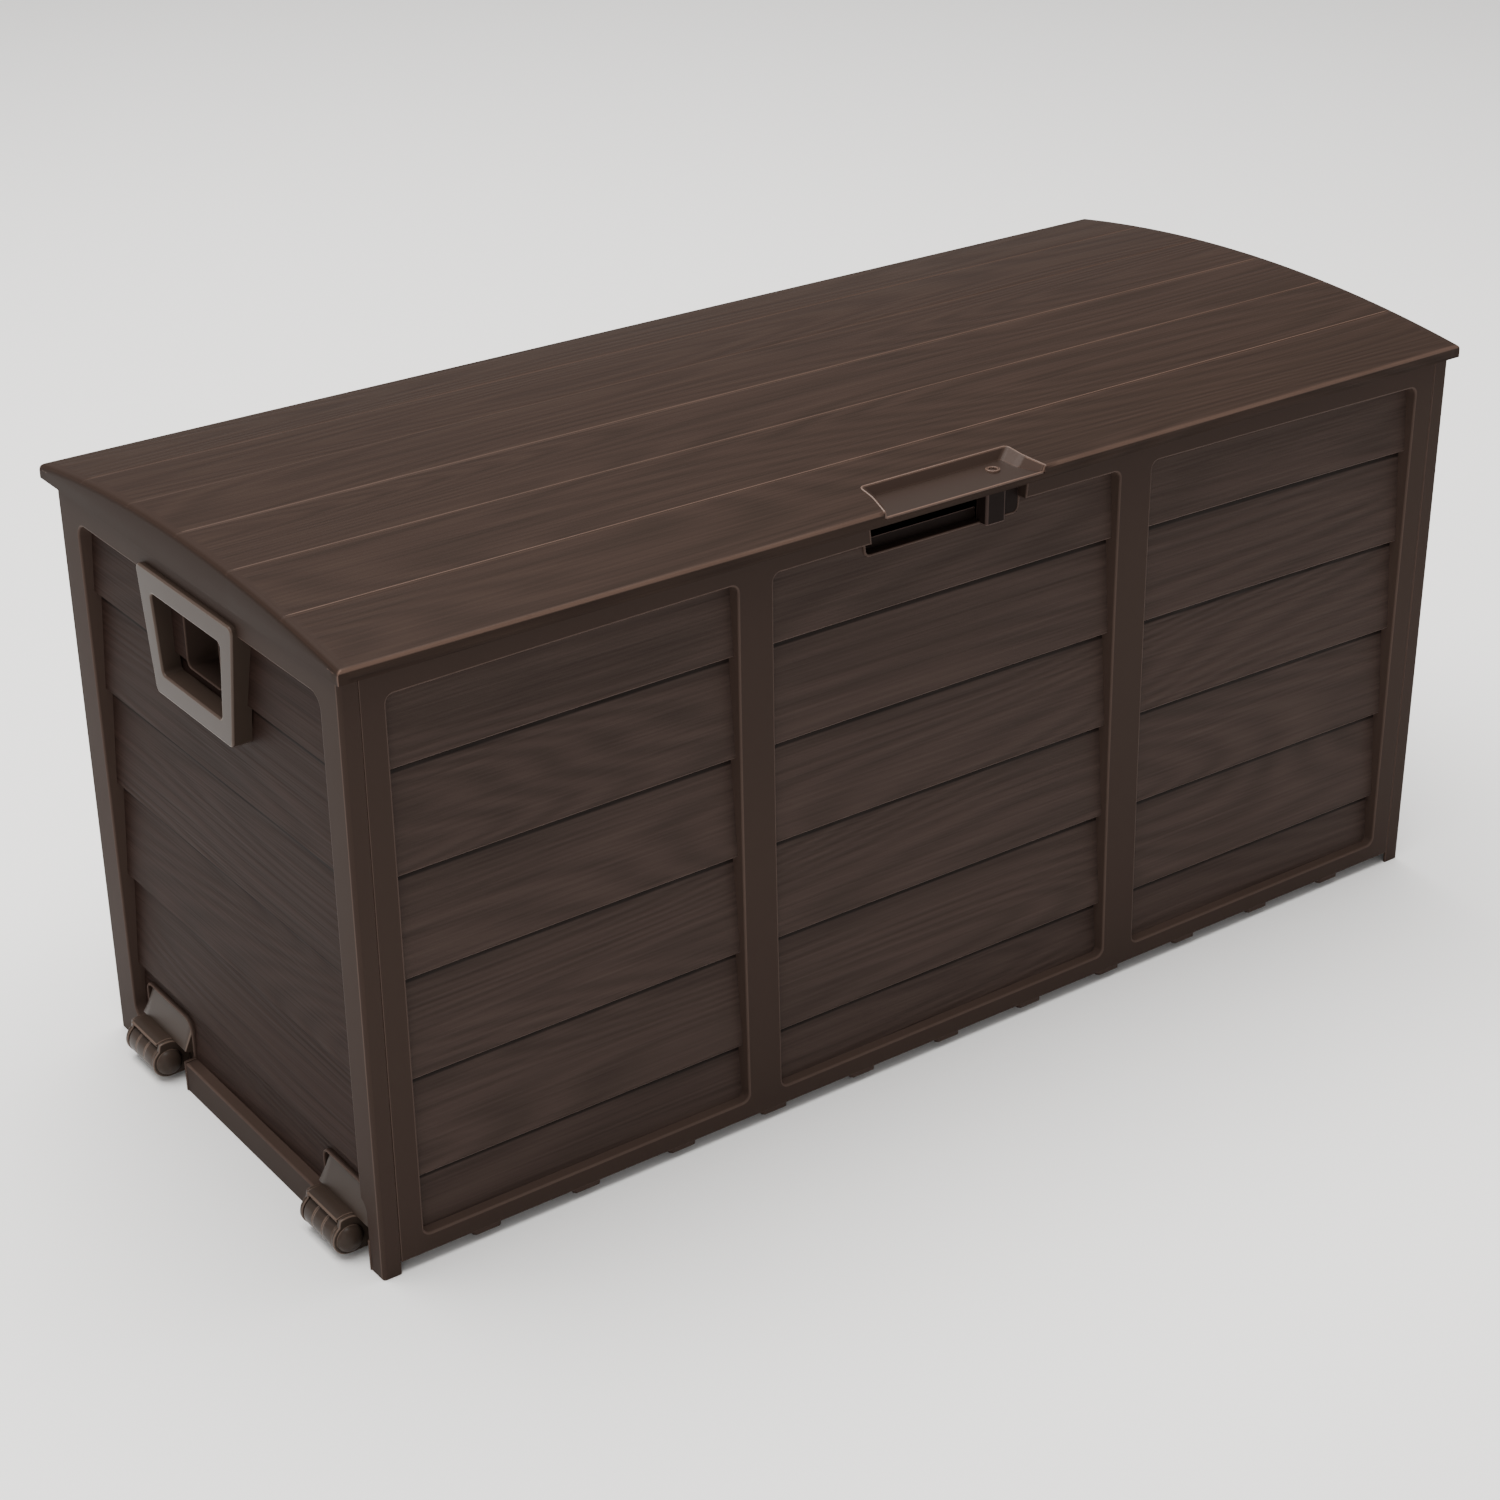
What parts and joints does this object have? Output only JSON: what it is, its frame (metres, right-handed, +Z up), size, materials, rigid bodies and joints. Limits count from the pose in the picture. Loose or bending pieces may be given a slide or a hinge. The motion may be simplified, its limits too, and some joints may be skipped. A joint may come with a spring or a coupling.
{
  "type": "deck storage box",
  "caption": "Long brown moulded garden storage box with lapped board walls, an arched hinged lid, end handles and small carrying rollers at one end.",
  "frame": {"origin": "on the ground, under the middle of the whole box with its handles and rollers", "axes": "+X along the box, away from the end with the rollers; -Y out of the front, where the lid is lifted; +Z up"},
  "size_m": [1.1362, 0.4888, 0.5365],
  "materials": {
    "body_brown": "dark brown polypropylene with a fine embossed wood grain",
    "lid_brown": "brown polypropylene with a fine embossed wood grain",
    "handle_brown": "smooth brown polypropylene",
    "roller_brown": "smooth brown polypropylene, lightly scuffed",
    "pin_black": "smooth black nylon"
  },
  "bodies": {
    "box": {"floor_panel": "body_brown", "front_panel": "body_brown", "lock_shelf": "body_brown", "back_panel": "body_brown", "left_end_panel": "body_brown", "right_end_panel": "body_brown", "left_handle": "handle_brown", "right_handle": "handle_brown", "front_roller_bracket": "roller_brown", "rear_roller_bracket": "roller_brown", "front_axle": "pin_black", "rear_axle": "pin_black", "hinge_pin_1": "pin_black", "hinge_pin_2": "pin_black", "hinge_pin_3": "pin_black", "hinge_pin_4": "pin_black"},
    "lid": {"lid": "lid_brown"},
    "front_roller": {"front_roller": "roller_brown"},
    "rear_roller": {"rear_roller": "roller_brown"}
  },
  "joints": [
    {"name": "lid_hinge", "type": "hinge", "parent": "box", "child": "lid", "pos_m": [0.00665, 0.235, 0.5085], "axis": [-1, 0, 0], "range_deg": [0, 100]},
    {"name": "front_roller_spin", "type": "hinge", "parent": "box", "child": "front_roller", "pos_m": [-0.55365, -0.1655, 0.0173], "axis": [0, 1, 0], "continuous": true},
    {"name": "rear_roller_spin", "type": "hinge", "parent": "box", "child": "rear_roller", "pos_m": [-0.55365, 0.1452, 0.0173], "axis": [0, 1, 0], "continuous": true}
  ]
}
